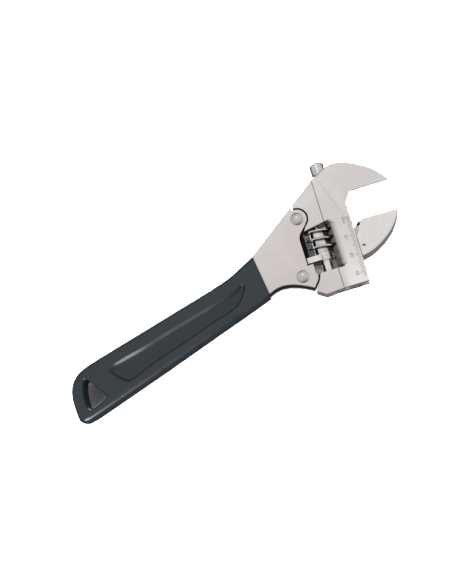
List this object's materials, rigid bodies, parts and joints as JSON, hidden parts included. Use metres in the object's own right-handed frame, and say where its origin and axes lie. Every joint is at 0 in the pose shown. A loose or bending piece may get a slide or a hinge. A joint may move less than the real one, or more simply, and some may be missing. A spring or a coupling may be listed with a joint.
{
  "type": "adjustable wrench",
  "caption": "Ratchet-action adjustable wrench with a worm-driven movable jaw, riveted cheek-plate handle, black grip and hang hole.",
  "frame": {"origin": "under the middle of the wrench's box, on the plane it lies on", "axes": "+X along the handle towards the head, +Y from the movable jaw's side towards the fixed jaw's side, +Z out of the front face"},
  "size_m": [0.2038, 0.0696, 0.016],
  "materials": {
    "satin_steel": "satin nickel-chrome plate over forged steel",
    "cheek_steel": "satin plated sheet steel",
    "worm_steel": "turned, dark between bright crests",
    "bright_steel": "ground bright",
    "spring_steel": "drawn wire",
    "chrome": "polished",
    "dark_steel": "blackened",
    "rivet_steel": "tumbled bright",
    "bronze": "sintered bronze",
    "grip": "glossy black dipped plastic"
  },
  "bodies": {
    "head": {"head": "satin_steel", "worm_axle": "bright_steel", "plunger_pin": "bright_steel", "plunger_spring": "spring_steel", "pivot_bush": "bronze", "worm_spring": "spring_steel", "thrust_spring": "spring_steel"},
    "handle": {"front_cheek": "cheek_steel", "back_cheek": "cheek_steel", "handle_core": "dark_steel", "pivot_rivet": "rivet_steel", "stop_rivet": "rivet_steel", "core_rivets": "rivet_steel", "spring_shoe": "bright_steel", "swing_spring": "spring_steel", "grip": "grip"},
    "thrust": {"thrust_block": "bright_steel", "thrust_washer": "bright_steel"},
    "worm": {"worm": "worm_steel"},
    "jaw": {"movable_jaw": "satin_steel"},
    "plunger": {"jaw_plunger": "chrome"}
  },
  "joints": [
    {"name": "handle_swing", "type": "hinge", "parent": "head", "child": "handle", "pos_m": [0.05062, 0.01327, 0.008], "axis": [0, 0, 1], "range_deg": [-10, 0], "stiffness_Nm_per_rad": 0.9, "springref_deg": 2.86, "deforming": ["swing_spring"]},
    {"name": "thrust_slide", "type": "slide", "parent": "head", "child": "thrust", "axis": [0.284, 0.9588, 0], "range_m": [-0.00101, 0], "deforming": ["thrust_spring", "worm_spring"]},
    {"name": "worm_spin", "type": "hinge", "parent": "thrust", "child": "worm", "pos_m": [0.05429, -0.00356, 0.008], "axis": [0.284, 0.9588, 0], "range_deg": [-1130.5, 1373.3]},
    {"name": "jaw_slide", "type": "slide", "parent": "thrust", "child": "jaw", "axis": [0.284, 0.9588, 0], "range_m": [-0.0135, 0.0164]},
    {"name": "plunger_press", "type": "slide", "parent": "head", "child": "plunger", "axis": [0.284, 0.9588, 0], "range_m": [-0.0022, 0], "stiffness_N_per_m": 600, "springref_m": 0.002, "deforming": ["plunger_spring"]}
  ],
  "couplings": [
    {"joint": "thrust_slide", "follows": "handle_swing", "m_per_rad": 0.0057296},
    {"joint": "worm_spin", "follows": "jaw_slide", "rad_per_m": 1461.2}
  ]
}
